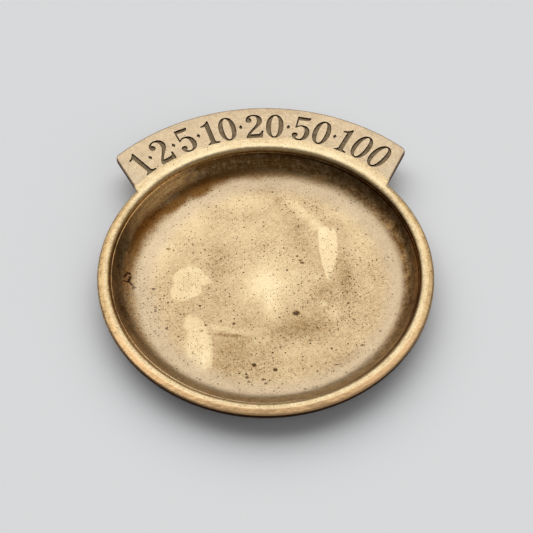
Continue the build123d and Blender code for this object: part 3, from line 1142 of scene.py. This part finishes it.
def agedBrass():
    material, tree = newMaterial("aged_cast_brass")
    at = brassMeasures(tree)
    zones = brassZones(tree, at)
    tone = floorTone(tree, at, zones)
    tone = rimTone(tree, tone, at, zones)
    tone, depth = withPits(tree, tone, at, zones)
    tone = withSmallMarks(tree, tone, at["ragged"], "spots")
    tone = withSmallMarks(tree, tone, at["ragged"], "flaw")
    for turn, length, width, lift in brassLook["scratches"]:
        share = scratchShare(tree, at["uneven"], turn, length, width)
        tone = raised(tree, tone, [(together(tree, [share, zones["floor"]]), lift)])
    colour = brassColour(tree, tone, at, zones)
    dirty, bare = brassLook["roughness"]["dirty"], brassLook["roughness"]["bare"]
    rough = addNode(
        tree,
        "ShaderNodeMapRange",
        {"Value": tone, "From Min": dirty[0], "From Max": bare[0], "To Min": dirty[1], "To Max": bare[1]},
    )
    shader = addNode(
        tree,
        "ShaderNodeBsdfPrincipled",
        {
            "Base Color": colour,
            "Metallic": 1.0,
            "Roughness": rough.outputs[0],
            "Normal": brassRelief(tree, depth, at, zones),
        },
    )
    addNode(tree, "ShaderNodeOutputMaterial", {"Surface": shader.outputs["BSDF"]})
    return material


# Dark filler in the engraving: old polish, wax and dirt that set hard, matt and grainy, darkest along the
# walls, where dirt lies that no cloth reaches and painted shade stands in for the walls' shade

fillerLook = {
    # painted shade along the recess walls, with dirt
    "wall": "#33251A",
    "middle": "#A48B69",
    "grains": "#76603F",
    "grain": (0.35, 0.06),  # size and depth in mm
    "coarse": (4, 0.7),  # the coarser grain's size and share, in those of the fine
    "grainLevels": (0.72, 0.98),
    "roughness": 0.8,
    "crown": 0.12,  # how far the fill sinks along the walls
    "margin": 0.26,
}


def darkFiller():
    material, tree = newMaterial("set_polish_filler")
    place = trayPlace(tree)
    height = addNode(tree, "ShaderNodeSeparateXYZ", {"Vector": place}).outputs["Z"]
    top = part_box("value_1_infill")[1].z / mm
    pastWallShade = addNode(
        tree,
        "ShaderNodeMapRange",
        {"Value": height, "From Min": top - fillerLook["crown"], "From Max": top},
    ).outputs[0]
    size, depth = fillerLook["grain"]
    growth, coarseShare = fillerLook["coarse"]
    fine = addNode(tree, "ShaderNodeTexNoise", {"Vector": place, "Scale": 1 / size, "Detail": 2.0}).outputs[0]
    coarse = addNode(
        tree, "ShaderNodeTexNoise", {"Vector": place, "Scale": 1 / (growth * size), "Detail": 2.0}
    )
    both = raised(tree, fine, [(coarse.outputs[0], coarseShare)])
    low, high = fillerLook["grainLevels"]
    grains = addNode(tree, "ShaderNodeMapRange", {"Value": both, "From Min": low, "From Max": high})
    grainy = addNode(
        tree,
        "ShaderNodeMix",
        {
            "data_type": "RGBA",
            0: grains.outputs[0],
            6: linear(fillerLook["grains"]),
            7: linear(fillerLook["middle"]),
        },
    )
    colour = addNode(
        tree,
        "ShaderNodeMix",
        {"data_type": "RGBA", 0: pastWallShade, 6: linear(fillerLook["wall"]), 7: grainy.outputs[2]},
    )
    bump = addNode(tree, "ShaderNodeBump", {"Height": fine, "Distance": depth * mm, "Strength": 1.0})
    shader = addNode(
        tree,
        "ShaderNodeBsdfPrincipled",
        {"Base Color": colour.outputs[2], "Roughness": fillerLook["roughness"], "Normal": bump.outputs[0]},
    )
    addNode(tree, "ShaderNodeOutputMaterial", {"Surface": shader.outputs["BSDF"]})
    return material


# Pressed wool felt: short matted fibres in a dyed sheet, dull from every side, with a faint sheen

feltLook = {
    "dark": "#1C2A22",
    "light": "#3B4C40",
    "fibre": (1.4, 0.12),  # length and width in mm, as coarse as it needs to be to show
    "turns": (20, 80, 140),  # degrees
    "levels": (0.45, 0.75),
    "depth": 0.10,
    "roughness": 0.95,
    "sheen": (0.25, 0.5),  # weight and roughness
}


def pressedFelt():
    material, tree = newMaterial("pressed_wool_felt")
    place = trayPlace(tree)
    length, width = feltLook["fibre"]
    fibres = 0.0
    for turn in feltLook["turns"]:
        local = addNode(
            tree,
            "ShaderNodeMapping",
            {
                "vector_type": "TEXTURE",
                "Vector": place,
                "Rotation": (0, 0, radians(turn)),
                "Scale": (length, width, width),
            },
        )
        strands = addNode(
            tree, "ShaderNodeTexNoise", {"Vector": local.outputs[0], "Scale": 1.0, "Detail": 2.0}
        ).outputs[0]
        fibres = addNode(tree, "ShaderNodeMath", {"operation": "MAXIMUM", 0: strands, 1: fibres}).outputs[0]
    low, high = feltLook["levels"]
    share = addNode(
        tree, "ShaderNodeMapRange", {"Value": fibres, "From Min": low, "From Max": high}
    ).outputs[0]
    colour = addNode(
        tree,
        "ShaderNodeMix",
        {"data_type": "RGBA", 0: share, 6: linear(feltLook["dark"]), 7: linear(feltLook["light"])},
    )
    depth = feltLook["depth"] * mm
    bump = addNode(tree, "ShaderNodeBump", {"Height": fibres, "Distance": depth, "Strength": 1.0})
    shader = addNode(
        tree,
        "ShaderNodeBsdfPrincipled",
        {
            "Base Color": colour.outputs[2],
            "Roughness": feltLook["roughness"],
            "Sheen Weight": feltLook["sheen"][0],
            "Sheen Roughness": feltLook["sheen"][1],
            "Normal": bump.outputs[0],
        },
    )
    addNode(tree, "ShaderNodeOutputMaterial", {"Surface": shader.outputs["BSDF"]})
    return material


# Making

brass = agedBrass()
filler = darkFiller()
felt = pressedFelt()

casting = makeDish()
cut(casting, makeTab(), "UNION")
print("dish and tab joined")

groups = characterGroups()
recessHeight = crestHeight - numerals["depth"] * mm
for name, flat in groups.items():
    selectOnly(flat)
    bpy.ops.object.duplicate()
    cutter = bpy.context.object
    thicken(cutter, recessHeight, crestHeight + mm)
    cut(casting, cutter, "DIFFERENCE")
print("numerals engraved")

selectOnly(casting)
bpy.ops.object.shade_smooth_by_angle(angle=radians(dish["creaseAngle"]))
wear(casting, brass)
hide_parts("tray_casting")
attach(casting, "root")

for name, flat in groups.items():
    fillLow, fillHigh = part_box(name + "_infill")
    crown = fillerLook["crown"] * mm
    thicken(flat, fillLow.z, fillHigh.z - crown)
    bpy.ops.object.mode_set(mode="EDIT")
    pick(flat, "FACE", lambda point: point.z > fillHigh.z - crown - nearly)
    bpy.ops.mesh.inset(thickness=fillerLook["margin"] * mm, depth=crown)
    bpy.ops.object.mode_set(mode="OBJECT")
    flat.name = name + "_fill"
    wear(flat, filler)
    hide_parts(name + "_infill")
    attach(flat, "root")
print("recesses filled")

# Felt pads: discs punched from a sheet, a little squeezed by the tray's weight

pad = {
    "steps": 96,
    "creaseAngle": 40,
    "profile": [  # share of the radius, and share of the thickness
        (0.10, 0.00),
        (0.50, 0.00),
        (0.90, 0.00),
        (0.965, 0.06),
        (0.99, 0.25),
        (1.00, 0.50),
        (0.99, 0.75),
        (0.97, 0.92),
        (0.95, 1.00),
        (0.50, 1.00),
        (0.10, 1.00),
    ],
    "corners": ["front_left", "front_right", "rear_left", "rear_right"],
}


def makePad(corner):
    low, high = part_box("felt_pad_" + corner)
    middle = (low + high) / 2
    radius = (high.x - low.x) / 2
    thickness = high.z - low.z
    share, level = pad["profile"][0]
    centre = (middle.x, middle.y, low.z)
    piece = startRings(pad["steps"], share * radius, centre)
    for nextShare, nextLevel in pad["profile"][1:]:
        nextRing(nextShare / share, centre, (0, 0, (nextLevel - level) * thickness))
        share, level = nextShare, nextLevel
    closeRings()
    bpy.ops.object.shade_smooth_by_angle(angle=radians(pad["creaseAngle"]))
    return piece


for corner in pad["corners"]:
    felted = makePad(corner)
    felted.name = "felt_" + corner
    wear(felted, felt)
    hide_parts("felt_pad_" + corner)
    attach(felted, "root")
print("felt pads made")


# Stage: a pale table, and a soft sky whose bright side is behind the tray

stage = {"tableSize": 6.0, "tableColour": "#FDFEFF", "tableRoughness": 0.9}
bpy.ops.object.select_all(action="DESELECT")
bpy.ops.mesh.primitive_plane_add(size=stage["tableSize"], location=(0, 0, 0))
table = bpy.context.object
table.name = "table"
paper, paperTree = newMaterial("table_paper")
paperShader = addNode(
    paperTree,
    "ShaderNodeBsdfPrincipled",
    {
        "Base Color": linear(stage["tableColour"]),
        "Roughness": stage["tableRoughness"],
        "Specular IOR Level": 0.0,
    },
)
addNode(paperTree, "ShaderNodeOutputMaterial", {"Surface": paperShader.outputs["BSDF"]})
wear(table, paper)

sky = {
    # Strength, then degrees: to the right from straight behind, above the table, how far round its middle it
    # is full, and how far it reaches
    "light": (1.66, -8, 50, 14, 62),
    "lightWide": 0.85,  # less than 1 is wider than high
    "lowest": (10, 28),  # degrees above the table where it begins and is full
    "overhead": (-0.15, 0.30),  # how far behind the zenith it fades in
    "fills": [(0.50, 122, 12, 8, 48), (0.26, 182, 50, 8, 32)],
    "dome": [(0.0, 0.02), (0.35, 0.05), (0.60, 0.16), (0.95, 0.09)],  # height share, strength
    "colour": "#FFFFFF",
}


def towards(turn, rise):
    # The direction at degrees to the right from straight behind, and above the table
    turn, rise = radians(turn), radians(rise)
    return (sin(turn) * cos(rise), cos(turn) * cos(rise), sin(rise))


def makeSky():
    world = bpy.data.worlds.new("soft_sky")
    bpy.context.scene.world = world
    world.use_nodes = True
    tree = world.node_tree
    tree.nodes.clear()
    direction = addNode(tree, "ShaderNodeTexCoord", {}).outputs["Generated"]
    parts = addNode(tree, "ShaderNodeSeparateXYZ", {"Vector": direction})
    squeezed = addNode(
        tree, "ShaderNodeVectorMath", {"operation": "MULTIPLY", 0: direction, 1: (sky["lightWide"], 1, 1)}
    )
    unit = addNode(
        tree, "ShaderNodeVectorMath", {"operation": "NORMALIZE", 0: squeezed.outputs[0]}
    ).outputs[0]
    strengths = []
    patches = [(unit, sky["light"])] + [(direction, fill) for fill in sky["fills"]]
    for looked, (strength, turn, rise, full, end) in patches:
        nearness = addNode(
            tree, "ShaderNodeVectorMath", {"operation": "DOT_PRODUCT", 0: looked, 1: towards(turn, rise)}
        ).outputs["Value"]
        strengths.append((levelShare(tree, nearness, [(cos(radians(end)), cos(radians(full)))]), strength))
    (light, strength), *fills = strengths
    above = levelShare(tree, parts.outputs["Z"], [[sin(radians(rise)) for rise in sky["lowest"]]])
    behind = levelShare(tree, parts.outputs["Y"], [sky["overhead"]])
    dome = addNode(tree, "ShaderNodeValToRGB", {"Fac": parts.outputs["Z"]})
    while len(dome.color_ramp.elements) < len(sky["dome"]):
        dome.color_ramp.elements.new(0.5)
    for element, (height, grey) in zip(dome.color_ramp.elements, sky["dome"]):
        element.position = height
        element.color = (grey, grey, grey, 1)
    total = raised(tree, dome.outputs[0], fills + [(together(tree, [light, above, behind]), strength)])
    background = addNode(tree, "ShaderNodeBackground", {"Color": linear(sky["colour"]), "Strength": total})
    addNode(tree, "ShaderNodeOutputWorld", {"Surface": background.outputs[0]})


makeSky()

camera = {
    "elevation": 54.15,  # degrees above the table
    "azimuth": -1.95,
    "distance": 7.0,  # in rim radii
    "lens": 79.63,
    "sensor": 36,
    "aimRight": 0.35,  # mm
}


def makeCamera():
    elevation = radians(camera["elevation"])
    azimuth = radians(camera["azimuth"])
    back = Vector((sin(azimuth) * cos(elevation), -cos(azimuth) * cos(elevation), sin(elevation)))
    right = Vector((cos(azimuth), sin(azimuth), 0))
    aim = Vector((0, dishY, crestHeight)) + right * camera["aimRight"] * mm
    bpy.ops.object.camera_add(location=aim + back * camera["distance"] * rimRadius)
    eye = bpy.context.object
    eye.rotation_euler = (-back).to_track_quat("-Z", "Y").to_euler()
    eye.data.lens = camera["lens"]
    eye.data.sensor_width = camera["sensor"]
    bpy.context.scene.camera = eye


makeCamera()
bpy.context.scene.view_settings.view_transform = "Standard"
